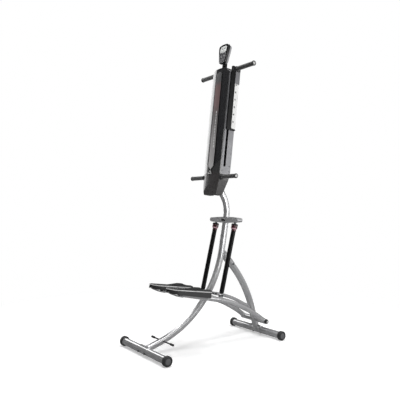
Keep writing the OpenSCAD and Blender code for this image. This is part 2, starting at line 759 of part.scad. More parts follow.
// Plan of a pedal: round at the heel, squarer at the toes
module pedal_outline(i) {
    r = pedal_w / 2 - i;
    toe = 18 - i / 2;
    translate([0, -pedal_l / 2 + pedal_w / 2]) circle(r);
    translate([-r, -pedal_l / 2 + pedal_w / 2]) square([2 * r, pedal_l - pedal_w / 2 - i - toe]);
    translate([-r + toe, pedal_l / 2 - i - 2 * toe]) square([2 * (r - toe), 2 * toe]);
    for (x = [-1, 1]) translate([x * (r - toe), pedal_l / 2 - i - toe]) circle(toe);
}
module pedal_frame() {
    translate([pedal_x, pedal_p[0], pedal_p[1]]) rotate([pedal_tilt, 0, 0]) children();
}
rib_y = [-60, 20, 100];
module pedal_underside() {
    toe_z = deck_z - deck_h;
    rotate([90, 0, 90]) linear_extrude(200, center = true) polygon([
        [-pedal_l / 2 - 1, toe_z - 2], [pedal_l / 2 + 1, toe_z - 2],
        [pedal_l / 2 + 1, toe_z], [-pedal_l / 2 - 1, deck_z - heel_h]
    ]);
}
module pedal() {
    pedal_frame() {
        difference() {
            union() {
                difference() {
                    translate([0, 0, deck_z - deck_h]) linear_extrude(deck_h) pedal_outline(0);
                    translate([0, 0, deck_z - 3]) linear_extrude(10) pedal_outline(5);
                    translate([0, 0, deck_z - deck_h - 1]) linear_extrude(deck_h - 9)
                        pedal_outline(4);
                    pedal_underside();
                }
                difference() {
                    for (y = rib_y) translate([-pedal_w / 2 + 3.5, y - 4, deck_z - deck_h])
                        cube([pedal_w - 7, 8, deck_h - 9]);
                    pedal_underside();
                }
                // saddles that stand on the arm
                for (y = rib_y) translate([-22, y - 6, deck_z - deck_h + 4])
                    cube([44, 12, deck_h - 13]);
                translate([-12, heel_foot - 6, 16.5]) cube([24, 12, deck_z - 9 - 16.5]);
            }
            rotate([90 + arm_tilt - pedal_tilt, 0, 0])
                cylinder(d = arm_d + 0.1, h = 2 * pedal_l, center = true);
        }
        // raised stop round the toes
        intersection() {
            translate([0, 0, deck_z - 3.5]) linear_extrude(30) difference() {
                pedal_outline(0);
                pedal_outline(10);
            }
            rotate([90, 0, 90]) linear_extrude(200, center = true) polygon([
                [10, 0], [pedal_l / 2 + 1, 0], [pedal_l / 2 + 1, deck_z + 5],
                [pedal_l / 2 - 30, deck_z + 15], [pedal_l / 2 - 70, deck_z + 15], [10, deck_z]
            ]);
        }
    }
}
module pedal_left() { color([0.16, 0.16, 0.16]) on_side(-1) pedal(); }
module pedal_right() { color([0.16, 0.16, 0.16]) pedal(); }
module clevis_bolt() { translate([pedal_x, lower_p[0], lower_p[1]]) bolt_x(-13, 13); }
module clevis_bolt_left() { color([0.1, 0.1, 0.1]) on_side(-1) clevis_bolt(); }
module clevis_bolt_right() { color([0.1, 0.1, 0.1]) clevis_bolt(); }

// ---- cylinders -----------------------------------------------------------
// Local frame of a cylinder: origin on the upper pivot, +Z down towards the pedal
module cylinder_frame() { translate([pedal_x, 0, 0]) at(upper_p, cyl_a) children(); }
module eye(r, hole, w, z) {
    translate([0, 0, z]) rotate([0, 90, 0]) difference() {
        cylinder(r = r, h = w, center = true);
        cylinder(r = hole, h = w + 2, center = true);
    }
}
module cylinder_body() {
    cylinder_frame() {
        eye(13.5, open_r, 20, 0);
        difference() {
            rotate_extrude() polygon([
                [0, 11.5], [neck_r, 11.5], [neck_r, dial_z + dial_h + 0.4],
                [cyl_d / 2 - 1, dial_z + dial_h + 0.4], [cyl_d / 2, dial_z + dial_h + 2],
                [cyl_d / 2, cyl_l - 4],
                [cyl_d / 2 - 3, cyl_l], [0, cyl_l]
            ]);
            translate([0, 0, 90]) cylinder(d = cyl_d - 6, h = cyl_l - 90 - 14);
            translate([0, 0, 90]) cylinder(d = rod_d + 0.1, h = cyl_l);
        }
    }
}
module dial() {
    cylinder_frame() difference() {
        translate([0, 0, dial_z]) rotate_extrude() polygon([
            [neck_r + 0.05, 0], [18, 0], [dial_r - 1, 2], [dial_r, 5], [dial_r, dial_h - 10],
            [dial_r - 2, dial_h - 6], [16, dial_h], [neck_r + 0.05, dial_h]
        ]);
        for (i = [0:11]) rotate(i * 30) translate([dial_r + 2, 0, dial_z + 4])
            cylinder(r = 3.2, h = dial_h - 16, $fn = 24);
    }
}
module dial_left() { color([0.3, 0.12, 0.12]) on_side(-1) dial(); }
module dial_right() { color([0.3, 0.12, 0.12]) dial(); }
module cylinder_left() { color([0.03, 0.03, 0.03]) on_side(-1) cylinder_body(); }
module cylinder_right() { color([0.03, 0.03, 0.03]) cylinder_body(); }
module piston_rod() {
    cylinder_frame() {
        translate([0, 0, 110]) cylinder(d = rod_d, h = cyl_len - 110 - 9);
        translate([0, 0, 110]) cylinder(d = cyl_d - 6.1, h = 20);
        eye(11, pin_r + 0.05, 17.9, cyl_len);
    }
}
module piston_rod_left() { color([0.8, 0.8, 0.82]) on_side(-1) piston_rod(); }
module piston_rod_right() { color([0.8, 0.8, 0.82]) piston_rod(); }

front_stabilizer();
rear_stabilizer();
foot_caps();
saddles();
main_upright();
rear_leg();
leg_sleeve();
centre_brace();
crossbar();
frame_bolts();
stop_rod();
stop_tips();
pivot_axle();
axle_caps();
tower_column();
rail_frame();
slide_bumpers();
front_cover();
decal_panel();
chrome_accents();
lower_housing();
side_panel_left();
side_panel_right();
rear_cover();
top_cap();
lower_handle_bar();
lower_grips();
lower_grip_plugs();
console_case();
console_back();
console_lens();
console_key_a();
console_key_b();
console_key_c();
carriage_left();
carriage_right();
adjust_bar_left();
adjust_bar_right();
handle_sleeve_left();
handle_sleeve_right();
handle_bar_left();
handle_bar_right();
grip_left();
grip_right();
grip_plug_left();
grip_plug_right();
pedal_arm_left();
pedal_arm_right();
arm_bushes_left();
arm_bushes_right();
pedal_left();
pedal_right();
clevis_bolt_left();
clevis_bolt_right();
cylinder_left();
cylinder_right();
dial_left();
dial_right();
piston_rod_left();
piston_rod_right();
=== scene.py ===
import json
import math

import bmesh
import bpy
from mathutils import Matrix, Vector


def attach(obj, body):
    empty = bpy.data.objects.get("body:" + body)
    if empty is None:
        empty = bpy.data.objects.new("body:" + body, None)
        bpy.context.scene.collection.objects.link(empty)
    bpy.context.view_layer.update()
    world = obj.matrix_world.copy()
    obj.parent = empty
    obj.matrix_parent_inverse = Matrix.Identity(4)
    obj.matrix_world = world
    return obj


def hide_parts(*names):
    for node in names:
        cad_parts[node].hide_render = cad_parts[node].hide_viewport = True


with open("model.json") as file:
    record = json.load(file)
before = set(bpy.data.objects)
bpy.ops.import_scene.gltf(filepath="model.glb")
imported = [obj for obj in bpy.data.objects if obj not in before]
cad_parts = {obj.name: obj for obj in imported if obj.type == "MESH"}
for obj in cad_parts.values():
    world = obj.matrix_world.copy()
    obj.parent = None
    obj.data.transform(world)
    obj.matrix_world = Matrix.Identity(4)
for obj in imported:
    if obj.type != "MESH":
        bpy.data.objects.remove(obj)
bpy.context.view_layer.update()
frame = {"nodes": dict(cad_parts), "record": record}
scene = bpy.context.scene
MM = 0.001


# ---- camera, floor and light --------------------------------------------------

def make_camera():
    pitch, heading = 0.008, 0.943            # radians above level, and round from looking along +Y
    data = bpy.data.cameras.new("camera")
    data.lens = 44.4
    data.sensor_width = 36
    data.clip_end = 60
    camera = bpy.data.objects.new("camera", data)
    camera.location = (2.836, -2.102, 0.993)
    camera.rotation_euler = (math.pi / 2 + pitch, 0, heading)
    scene.collection.objects.link(camera)
    scene.camera = camera


def area_light(name, size, power, place, target):
    data = bpy.data.lights.new(name, "AREA")
    data.shape = "RECTANGLE"
    data.size, data.size_y = size
    data.energy = power
    light = bpy.data.objects.new(name, data)
    light.location = place
    light.rotation_euler = (Vector(place) - Vector(target)).to_track_quat("Z", "Y").to_euler()
    scene.collection.objects.link(light)


def radial(nodes, links, near, far):
    """0 near the machine to 1 at a distance, on the floor."""
    coord = nodes.new("ShaderNodeTexCoord")
    length = nodes.new("ShaderNodeVectorMath")
    length.operation = "LENGTH"
    links.new(coord.outputs["Object"], length.inputs[0])
    ramp = nodes.new("ShaderNodeMapRange")
    ramp.interpolation_type = "SMOOTHSTEP"
    for socket, value in zip(("From Min", "From Max"), (near, far)):
        ramp.inputs[socket].default_value = value
    links.new(length.outputs["Value"], ramp.inputs["Value"])
    return ramp.outputs["Result"]


def make_floor():
    """A round white floor that fades into the white background."""
    radius, height, sides = 14, -0.0004, 96      # just under the feet
    points = [(radius * math.cos(a), radius * math.sin(a), height)
              for a in (2 * math.pi * i / sides for i in range(sides))]
    mesh = bpy.data.meshes.new("floor")
    mesh.from_pydata(points, [], [list(range(sides))])
    floor = bpy.data.objects.new("floor", mesh)
    scene.collection.objects.link(floor)
    mat = bpy.data.materials.new("floor")
    mat.use_nodes = True
    nodes, links = mat.node_tree.nodes, mat.node_tree.links
    paper = nodes["Principled BSDF"]
    paper.inputs["Base Color"].default_value = (0.9, 0.9, 0.9, 1)
    paper.inputs["Roughness"].default_value = 0.8
    paper.inputs["Specular IOR Level"].default_value = 0.1
    paper.inputs["Emission Color"].default_value = (1, 1, 1, 1)
    paper.inputs["Emission Strength"].default_value = 0.35
    white = nodes.new("ShaderNodeEmission")
    mix = nodes.new("ShaderNodeMixShader")
    links.new(radial(nodes, links, 1.0, 2.4), mix.inputs[0])
    links.new(paper.outputs[0], mix.inputs[1])
    links.new(white.outputs[0], mix.inputs[2])
    links.new(mix.outputs[0], nodes["Material Output"].inputs["Surface"])
    mesh.materials.append(mat)
    floor.visible_glossy = False


def make_world():
    """White behind the machine; the room it reflects is dark low down and towards -X and -Y."""
    world = bpy.data.worlds.new("studio")
    scene.world = world
    world.use_nodes = True
    nodes, links = world.node_tree.nodes, world.node_tree.links
    nodes.clear()
    out = nodes.new("ShaderNodeOutputWorld")
    mix = nodes.new("ShaderNodeMixShader")
    path = nodes.new("ShaderNodeLightPath")
    seen = nodes.new("ShaderNodeBackground")
    seen.inputs["Color"].default_value = (1, 1, 1, 1)
    room = nodes.new("ShaderNodeBackground")
    coord = nodes.new("ShaderNodeTexCoord")
    split = nodes.new("ShaderNodeSeparateXYZ")
    height = nodes.new("ShaderNodeMapRange")
    height.inputs["From Min"].default_value = -1
    ramp = nodes.new("ShaderNodeValToRGB")
    ramp.color_ramp.elements[0].color = (0.06, 0.06, 0.06, 1)
    ramp.color_ramp.elements[1].color = (1, 1, 1, 1)
    for at, grey in ((0.42, 0.06), (0.52, 0.3), (0.62, 0.16), (0.8, 0.4)):
        step = ramp.color_ramp.elements.new(at)
        step.color = (grey, grey, grey, 1)
    links.new(coord.outputs["Generated"], split.inputs[0])
    links.new(split.outputs["Z"], height.inputs["Value"])
    toward = nodes.new("ShaderNodeVectorMath")
    toward.operation = "DOT_PRODUCT"
    toward.inputs[1].default_value = (0.79, 0.61, 0)
    links.new(coord.outputs["Generated"], toward.inputs[0])
    side = nodes.new("ShaderNodeMapRange")
    for socket, value in zip(("From Min", "From Max", "To Min", "To Max"), (-0.8, 0.8, 0.05, 0.75)):
        side.inputs[socket].default_value = value
    links.new(toward.outputs["Value"], side.inputs["Value"])
    links.new(side.outputs["Result"], room.inputs["Strength"])
    links.new(height.outputs["Result"], ramp.inputs[0])
    links.new(ramp.outputs[0], room.inputs["Color"])
    links.new(path.outputs["Is Camera Ray"], mix.inputs[0])
    links.new(room.outputs[0], mix.inputs[1])
    links.new(seen.outputs[0], mix.inputs[2])
    links.new(mix.outputs[0], out.inputs[0])


make_camera()
make_floor()
make_world()
area_light("edge_left", (1.0, 3.2), 30, (-3.0, -0.3, 1.6), (0, 0, 1.3))
area_light("key_right", (1.2, 1.6), 46, (2.9, 1.5, 1.2), (0, 0, 0.3))
area_light("front", (1.2, 1.2), 9, (1.2, -3.6, 3.2), (0, 0, 0.9))
area_light("top", (2.4, 2.4), 110, (0, 0, 4.2), (0, 0, 0.4))
scene.view_settings.view_transform = "Standard"


# ---- materials ---------------------------------------------------------------

class Shader:
    """A material under construction: one Principled shader and the detail fed to it."""

    def __init__(self, name, colour, rough, metal=0.0, **sockets):
        self.mat = bpy.data.materials.new(name)
        self.mat.use_nodes = True
        self.nodes = self.mat.node_tree.nodes
        self.links = self.mat.node_tree.links
        self.shader = self.nodes["Principled BSDF"]
        self.coord = self.nodes.new("ShaderNodeTexCoord").outputs["Object"]
        self.colour, self.rough, self.height = colour, rough, None
        self.set("Base Color", (*colour, 1))
        self.set("Roughness", rough)
        self.set("Metallic", metal)
        for key, value in sockets.items():
            self.set(key.replace("_", " "), value)
        self.tint = None

    def set(self, socket, value):
        self.shader.inputs[socket].default_value = value

    def noise(self, scale, detail=3.0, stretch=(1, 1, 1)):
        mapping = self.nodes.new("ShaderNodeMapping")
        mapping.inputs["Scale"].default_value = stretch
        self.links.new(self.coord, mapping.inputs[0])
        node = self.nodes.new("ShaderNodeTexNoise")
        node.inputs["Scale"].default_value = scale
        node.inputs["Detail"].default_value = detail
        self.links.new(mapping.outputs[0], node.inputs["Vector"])
        return node.outputs["Fac"]

    def cells(self, scale):
        node = self.nodes.new("ShaderNodeTexVoronoi")
        node.inputs["Scale"].default_value = scale
        self.links.new(self.coord, node.inputs["Vector"])
        return node.outputs["Distance"]

    def span(self, value, low, high, start=0.3, end=0.7):
        node = self.nodes.new("ShaderNodeMapRange")
        for socket, number in zip(("From Min", "From Max", "To Min", "To Max"), (start, end, low, high)):
            node.inputs[socket].default_value = number
        self.links.new(value, node.inputs["Value"])
        return node.outputs["Result"]

    def mix(self, amount, first, second):
        node = self.nodes.new("ShaderNodeMix")
        node.data_type = "RGBA"
        self.links.new(amount, node.inputs["Factor"])
        for socket, value in ((node.inputs["A"], first), (node.inputs["B"], second)):
            if isinstance(value, tuple):
                socket.default_value = (*value, 1)
            else:
                self.links.new(value, socket)
        return node.outputs["Result"]

    def mottle(self, amount, scale=14):
        """Slight change of tone over the surface, as dust, paint and handling leave."""
        dark = tuple(c * (1 - amount) for c in self.colour)
        light = tuple(min(1, c * (1 + amount)) for c in self.colour)
        self.paint(self.mix(self.span(self.noise(scale), 0, 1), dark, light))

    def paint(self, colour):
        self.tint = colour
        self.links.new(colour, self.shader.inputs["Base Color"])

    def uneven(self, amount, scale=30, stretch=(1, 1, 1)):
        low, high = max(0.02, self.rough - amount), self.rough + amount
        result = self.span(self.noise(scale, 4, stretch), low, high)
        self.links.new(result, self.shader.inputs["Roughness"])

    def bump(self, height, depth, strength=0.3):
        node = self.nodes.new("ShaderNodeBump")
        node.inputs["Strength"].default_value = strength
        node.inputs["Distance"].default_value = depth
        self.links.new(height, node.inputs["Height"])
        if self.height is not None:
            self.links.new(self.height, node.inputs["Normal"])
        self.height = node.outputs["Normal"]
        self.links.new(self.height, self.shader.inputs["Normal"])

    def soften(self, radius):
        """Rounds sharp edges to the light."""
        bevel = self.nodes.new("ShaderNodeBevel")
        bevel.samples = 4
        bevel.inputs["Radius"].default_value = radius
        self.height = bevel.outputs["Normal"]
        self.links.new(self.height, self.shader.inputs["Normal"])

    def wear(self, radius, worn, amount=0.5):
        """Rubbed edges, a little patchy."""
        bevel = self.nodes.new("ShaderNodeBevel")
        bevel.samples = 4
        bevel.inputs["Radius"].default_value = radius
        flat = self.nodes.new("ShaderNodeNewGeometry").outputs["Normal"]
        dot = self.nodes.new("ShaderNodeVectorMath")
        dot.operation = "DOT_PRODUCT"
        self.links.new(bevel.outputs["Normal"], dot.inputs[0])
        self.links.new(flat, dot.inputs[1])
        edge = self.span(dot.outputs["Value"], amount, 0, 0.8, 0.97)
        patch = self.nodes.new("ShaderNodeMath")
        patch.operation = "MULTIPLY"
        self.links.new(edge, patch.inputs[0])
        self.links.new(self.span(self.noise(60), 0, 1), patch.inputs[1])
        self.paint(self.mix(patch.outputs[0], self.tint or self.colour, worn))


def painted(name, colour, rough=0.34, worn=(0.55, 0.55, 0.56), metal=0.0, coat=0.25, shine=0.5):
    s = Shader(name, colour, rough, metal, Coat_Weight=coat, Coat_Roughness=0.18, Specular_IOR_Level=shine)
    s.mottle(0.05)
    if worn:
        s.wear(1.2 * MM, worn, 0.45)
    s.uneven(0.06 if worn else 0.025)
    s.soften(0.8 * MM)
    s.bump(s.noise(700, 2), 0.25 * MM, 0.12 if worn else 0.04)
    return s.mat


def plated(name, colour=(0.86, 0.86, 0.87), rough=0.09):
    s = Shader(name, colour, rough, 1.0)
    s.mottle(0.04, 30)
    s.uneven(0.04, 50)
    s.soften(0.7 * MM)
    s.bump(s.noise(160, 2), 0.2 * MM, 0.05)
    return s.mat


def turned(name, colour, rough=0.3):
    s = Shader(name, colour, rough, 1.0)
    s.mottle(0.1, 40)
    s.uneven(0.1, 90, (8, 1, 1))
    s.bump(s.noise(300, 3, (10, 1, 1)), 0.2 * MM, 0.15)
    return s.mat


def moulded(name, colour, rough=0.42, grain=0.25, coat=0.0):
    s = Shader(name, colour, rough, 0.0, Coat_Weight=coat, Coat_Roughness=0.06)
    s.mottle(0.08, 18)
    s.uneven(0.07, 22)
    s.soften(1.2 * MM)
    s.bump(s.cells(1400), 0.2 * MM, grain)
    return s.mat


def rubbery(name, colour=(0.028, 0.028, 0.029), rough=0.62, grain=0.35):
    s = Shader(name, colour, rough, Specular_IOR_Level=0.4, Sheen_Weight=0.15, Sheen_Roughness=0.4)
    s.mottle(0.18, 25)
    s.uneven(0.1, 35)
    s.soften(1.0 * MM)
    s.bump(s.cells(900), 0.3 * MM, grain)
    return s.mat


def foam(name, colour):
    s = Shader(name, colour, 0.6, Specular_IOR_Level=0.6, Sheen_Weight=0.8, Sheen_Roughness=0.3)
    s.mottle(0.2, 60)
    s.bump(s.cells(1100), 0.7 * MM, 0.5)
    s.bump(s.noise(2600, 2), 0.3 * MM, 0.3)
    return s.mat


def panel_print():
    """The printed panel: dark grey at the top, a warm band, then a lighter grey."""
    s = Shader("panel_print", (0.2, 0.19, 0.19), 0.5, 0.0, Specular_IOR_Level=0.3)
    split = s.nodes.new("ShaderNodeSeparateXYZ")
    s.links.new(s.coord, split.inputs[0])
    ramp = s.nodes.new("ShaderNodeValToRGB")
    stops = ((0.0, (0.42, 0.41, 0.41)), (0.3, (0.28, 0.27, 0.27)), (0.55, (0.12, 0.11, 0.11)),
             (0.66, (0.17, 0.11, 0.11)), (0.84, (0.16, 0.1, 0.1)), (0.9, (0.09, 0.09, 0.093)),
             (1.0, (0.1, 0.1, 0.103)))
    for at, colour in stops[1:-1]:
        ramp.color_ramp.elements.new(at).color = (*colour, 1)
    ramp.color_ramp.elements[0].color = (*stops[0][1], 1)
    ramp.color_ramp.elements[len(stops) - 1].color = (*stops[-1][1], 1)
    s.links.new(s.span(split.outputs["Y"], 0, 1, 0.18, 0.91), ramp.inputs[0])
    s.paint(ramp.outputs[0])
    s.uneven(0.05, 20)
    s.bump(s.cells(1600), 0.1 * MM, 0.08)
    return s.mat


MATERIALS = {
    "steel_frame": painted("silver_paint", (0.64, 0.64, 0.65), 0.22, None, 0.6, 0.4),
    "steel_dark": painted("black_paint", (0.03, 0.03, 0.032), 0.3),
    "steel_inner": turned("plain_steel", (0.4, 0.4, 0.42)),
    "bolt_steel": painted("black_oxide", (0.025, 0.025, 0.027), 0.4, (0.3, 0.3, 0.3), 0.5),
    "axle_steel": turned("turned_steel", (0.6, 0.6, 0.62)),
    "bronze": turned("bronze", (0.55, 0.42, 0.2)),
    "rod_chrome": plated("rod_chrome"),
    "cap_rubber": rubbery("cap_rubber"),
    "cover_black": moulded("cover_gloss", (0.028, 0.028, 0.03), 0.2, 0.04, 0.8),
    "accent_chrome": painted("accent_chrome", (0.07, 0.07, 0.07), 0.2, (0.3, 0.3, 0.3), 0.3, 0.9),
    "housing_dark": moulded("housing", (0.055, 0.052, 0.052), 0.3, 0.12, 0.35),
    "side_silver": painted("side_silver", (0.22, 0.22, 0.23), 0.42, (0.4, 0.4, 0.4), 0.3, 0.1),
    "rear_grey": moulded("rear_grey", (0.1, 0.1, 0.105), 0.45),
    "rail_white": painted("white_coat", (0.78, 0.78, 0.77), 0.4, (0.6, 0.6, 0.6), 0, 0.0, 0.3),
    "foam": foam("foam", (0.045, 0.045, 0.046)),
    "plug_light": moulded("plug_light", (0.6, 0.6, 0.59), 0.35, 0.1),
    "console_black": moulded("console_black", (0.005, 0.005, 0.006), 0.42, 0.08),
    "console_grey": moulded("console_grey", (0.33, 0.33, 0.34), 0.45),
    "display": moulded("display", (0.88, 0.9, 0.88), 0.25, 0.02, 0.3),
    "key_grey": rubbery("key_grey", (0.3, 0.3, 0.31), 0.5, 0.15),
    "cylinder_black": painted("cylinder_black", (0.004, 0.004, 0.0045), 0.42, (0.1, 0.1, 0.1), 0, 0.0, 0.25),
    "key_dark": rubbery("key_dark", (0.05, 0.05, 0.052), 0.45, 0.15),
    # light grey for a painted highlight along the pedals' deck edges
    "pedal_highlight_rim": moulded("pedal_highlight_rim", (0.55, 0.55, 0.55), 0.3, 0.08, 0.3),
    "crossbar_grey": painted("crossbar_grey", (0.4, 0.4, 0.41), 0.36, (0.55, 0.55, 0.55), 0.3, 0.3),
    # the ring under the dial: pink plastic, made lighter by a painted highlight
    "dial_highlight_ring": moulded("dial_highlight_ring", (0.5, 0.3, 0.34), 0.25, 0.05, 0.6),
    "panel_insert": panel_print(),
    "dial_red": moulded("dial_red", (0.05, 0.008, 0.012), 0.24, 0.06, 0.6),
    "pedal_black": moulded("pedal_black", (0.03, 0.03, 0.031), 0.45, 0.3),
}


def dress(obj, material):
    """Gives a CAD node one material all over."""
    obj.data.materials.clear()
    obj.data.materials.append(material)
    for face in obj.data.polygons:
        face.material_index = 0


SLOTS = {row["node"]: row["material_slot"] for row in frame["record"]["subparts"]}
OVERRIDES = {"decal_panel": "cylinder_black", "crossbar": "crossbar_grey",
             "carriage_left": "cylinder_black", "carriage_right": "cylinder_black"}
for name, obj in frame["nodes"].items():
    dress(obj, MATERIALS[OVERRIDES.get(name, SLOTS[name])])


# ---- building pieces ---------------------------------------------------------

def lathe(profile, segments=48):
    """A mesh turned round Z from (radius, height) pairs in millimetres."""
    bm = bmesh.new()
    rings = []
    for r, h in profile:
        turns = [2 * math.pi * i / segments for i in range(segments if r else 1)]
        rings.append([bm.verts.new((r * MM * math.cos(a), r * MM * math.sin(a), h * MM))
                      for a in turns])
    for low, high in zip(rings, rings[1:]):
        for i in range(segments):
            j = (i + 1) % segments
            if len(low) == 1:
                bm.faces.new((low[0], high[j], high[i]))
            elif len(high) == 1:
                bm.faces.new((low[i], low[j], high[0]))
            else:
                bm.faces.new((low[i], low[j], high[j], high[i]))
    return finished(bm)


def finished(bm, sharp=35):
    bmesh.ops.remove_doubles(bm, verts=bm.verts, dist=0.001 * MM)
    bmesh.ops.recalc_face_normals(bm, faces=bm.faces)
    for face in bm.faces:
        face.smooth = True
    mesh = bpy.data.meshes.new("mesh")
    bm.to_mesh(mesh)
    bm.free()
    mesh.set_sharp_from_angle(angle=math.radians(sharp))
    return mesh


def from_curve(curve):
    """The mesh of a curve, whose own datablock is then dropped."""
    holder = bpy.data.objects.new("outline", curve)
    scene.collection.objects.link(holder)
    graph = bpy.context.evaluated_depsgraph_get()
    bm = bmesh.new()
    mesh = bpy.data.meshes.new_from_object(holder.evaluated_get(graph))
    bm.from_mesh(mesh)
    bpy.data.meshes.remove(mesh)
    bpy.data.objects.remove(holder)
    bpy.data.curves.remove(curve)
    return finished(bm)


def plate(loops, low, high, round_edge=0.4):
    """A plate in millimetres between two heights: its outline, then any holes."""
    curve = bpy.data.curves.new("outline", "CURVE")
    curve.dimensions = "2D"
    curve.fill_mode = "BOTH"
    curve.bevel_depth = round_edge * MM
    curve.offset = -round_edge * MM
    curve.bevel_resolution = 2
    curve.extrude = ((high - low) / 2 - round_edge) * MM
    for loop in loops:
        spline = curve.splines.new("POLY")
        spline.points.add(len(loop) - 1)
        spline.use_cyclic_u = True
        for point, (u, v) in zip(spline.points, loop):
            point.co = (u * MM, v * MM, 0, 1)
    mesh = from_curve(curve)
    mesh.transform(Matrix.Translation((0, 0, (low + high) / 2 * MM)))
    return mesh


def rod(points, r, closed=False, swell=0.0):
    """A round bar in millimetres along a line; swell makes it lumpy like a weld."""
    curve = bpy.data.curves.new("line", "CURVE")
    curve.dimensions = "3D"
    curve.bevel_depth = r * MM
    curve.bevel_resolution = 3
    curve.use_fill_caps = not closed
    spline = curve.splines.new("POLY")
    spline.points.add(len(points) - 1)
    spline.use_cyclic_u = closed
    for i, (point, place) in enumerate(zip(spline.points, points)):
        point.co = (*(c * MM for c in place), 1)
        point.radius = 1 + swell * math.sin(i * 2.1)
    return from_curve(curve)


def softened(points, radius, steps=5):
    """The outline with each corner rounded off."""
    out = []
    for i, corner in enumerate(points):
        p = Vector(corner)
        ends = []
        for other in (Vector(points[i - 1]), Vector(points[(i + 1) % len(points)])):
            away = other - p
            ends.append(p + away.normalized() * min(radius, away.length * 0.5))
        for k in range(steps + 1):
            t = k / steps
            out.append(tuple((1 - t) ** 2 * ends[0] + 2 * t * (1 - t) * p + t * t * ends[1]))
    return out


def box_outline(w, h, r, u=0, v=0):
    """A rounded rectangle w by h, its middle at (u, v)."""
    left, right, low, high = u - w / 2, u + w / 2, v - h / 2, v + h / 2
    return softened([(left, low), (right, low), (right, high), (left, high)], r)


def oval(w, h, u=0, v=0, points=40):
    """An ellipse w by h, its middle at (u, v)."""
    return [(u + w / 2 * math.cos(a), v + h / 2 * math.sin(a))
            for a in (2 * math.pi * i / points for i in range(points))]


def add(name, mesh, place, slot, body, replaced=(), material=None):
    obj = bpy.data.objects.new(name, mesh)
    obj.matrix_world = place
    scene.collection.objects.link(obj)
    mesh.materials.clear()
    mesh.materials.append(material or MATERIALS[slot])
    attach(obj, body)
    if replaced:
        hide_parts(*replaced)
    return obj


def tilted(y, z, degrees, x=0):
    """A frame at that place in millimetres, turned about X."""
    return Matrix.Translation((x * MM, y * MM, z * MM)) @ Matrix.Rotation(math.radians(degrees), 4, "X")


def moved(x=0, y=0, z=0):
    return Matrix.Translation((x * MM, y * MM, z * MM))


TOWER = tilted(29.919, 1060.58, -6.6)
CONSOLE = tilted(151.4, 2026.4, -10)
FACE = Matrix(((1, 0, 0, 0), (0, 0, -1, 0), (0, 1, 0, 0), (0, 0, 0, 1)))   # across, up, out of the front
ALONG_X = Matrix.Rotation(math.pi / 2, 4, "Y")
FLIP = Matrix.Rotation(math.pi, 4, "Z")
FORWARD = Matrix.Rotation(math.pi / 2, 4, "X")
SIDES = (("left", -1), ("right", 1))


def sideways(sign):
    """Turns local Z out along the X axis, to the left or the right."""
    return (FLIP if sign < 0 else Matrix.Identity(4)) @ ALONG_X


# places in millimetres, as (along Y, up), and tilts in degrees
STEP_X = 110                                 # each pedal's centre line
PEDAL_AT, PEDAL_TILT = (-226.75, 382.24), -8.7
ARM_END, ARM_TILT = (-295.04, 397.63), -12.7
CYLINDER_TOP, CYLINDER_ANGLE = (190.602, 868.245), -104.25
CLEVIS = (59.018, 350.145)
FRONT_TUBE, REAR_TUBE, AXLE = (-493, 33), (493, 33), (472, 113)


# ---- grips -------------------------------------------------------------------

def grip_mesh(length, r):
    """Foam pulled over a tube: full in the middle and rolled in at both ends."""
    steps = 36
    profile = [(r * 0.72, 0.6)]
    for i in range(steps + 1):
        h = length * i / steps
        end = min(h, length - h)
        roll = math.sqrt(max(0.0, 1 - (1 - min(end / 5, 1)) ** 2))
        profile.append((r * (0.8 + 0.2 * roll) + 0.18 * math.sin(h * 0.9), h))
    profile.append((r * 0.72, length - 0.6))
    return lathe(profile)


def grip_end_meshes(r):
    """The rubber ring round a grip's outer end, and the disc that closes it."""
    ring = lathe([(r - 6, 0), (r + 0.4, 0), (r + 1.6, 1.4), (r + 1.6, 6.5), (r + 0.4, 8.6), (r - 2.2, 9.6),
                  (r - 4.2, 9.4), (r - 5, 8.2), (r - 5, 6)])
    middle = lathe([(0, 8.1), (r * 0.2, 8.3), (r * 0.26, 7.4), (r * 0.36, 7.4), (r * 0.44, 8.5),
                    (r - 6.4, 8.6), (r - 5.2, 7.6), (r - 5.2, 5), (0, 5)])
    return ring, middle


LOW_BAR = TOWER @ moved(0, 28.6, 129)
HANDLE = TOWER @ moved(0, 67, 922)
GRIPS = (                                    # name, frame, inner end, outer end, radius
    ("upper", HANDLE, 122.6, 292, 16),
    ("lower", LOW_BAR, 106, 252, 15),
)
for level, place, inner, outer, r in GRIPS:
    for side, sign in SIDES:
        body = f"slider_{side}" if level == "upper" else "frame"
        turn = sideways(sign)
        foam_nodes, end_nodes = (), ()
        if level == "upper":
            foam_nodes, end_nodes = (f"grip_{side}",), (f"grip_plug_{side}",)
        elif side == "left":
            foam_nodes, end_nodes = ("lower_grips",), ("lower_grip_plugs",)
        foam_piece = add(f"foam_{level}_{side}", grip_mesh(outer - inner, r),
                         place @ turn @ moved(0, 0, inner), "foam", body, foam_nodes)
        ring, middle = grip_end_meshes(r)
        end_place = place @ turn @ moved(0, 0, outer)
        add(f"grip_ring_{level}_{side}", ring, end_place, "cap_rubber", body)
        add(f"grip_disc_{level}_{side}", middle, end_place, "plug_light", body, end_nodes)
        if level == "lower":
            flange = lathe([(10, 0), (21, 0), (22, 1), (22, 3), (19, 5), (14.5, 7), (13.5, 12), (10, 12)])
            add(f"handle_flange_{side}", flange, place @ turn @ moved(0, 0, 92.4), "cap_rubber", "frame")


# ---- tower face --------------------------------------------------------------

def panel_outline(half):
    """Arched at the top and pointed at the bottom."""
    base, arch = 210, 876
    slope = 40 / 44                          # of the point's two edges
    top = [(half * math.cos(a), arch + half * math.sin(a)) for a in (math.pi * i / 24 for i in range(25))]
    return [(-half, base), (0, base - half * slope), (half, base)] + top


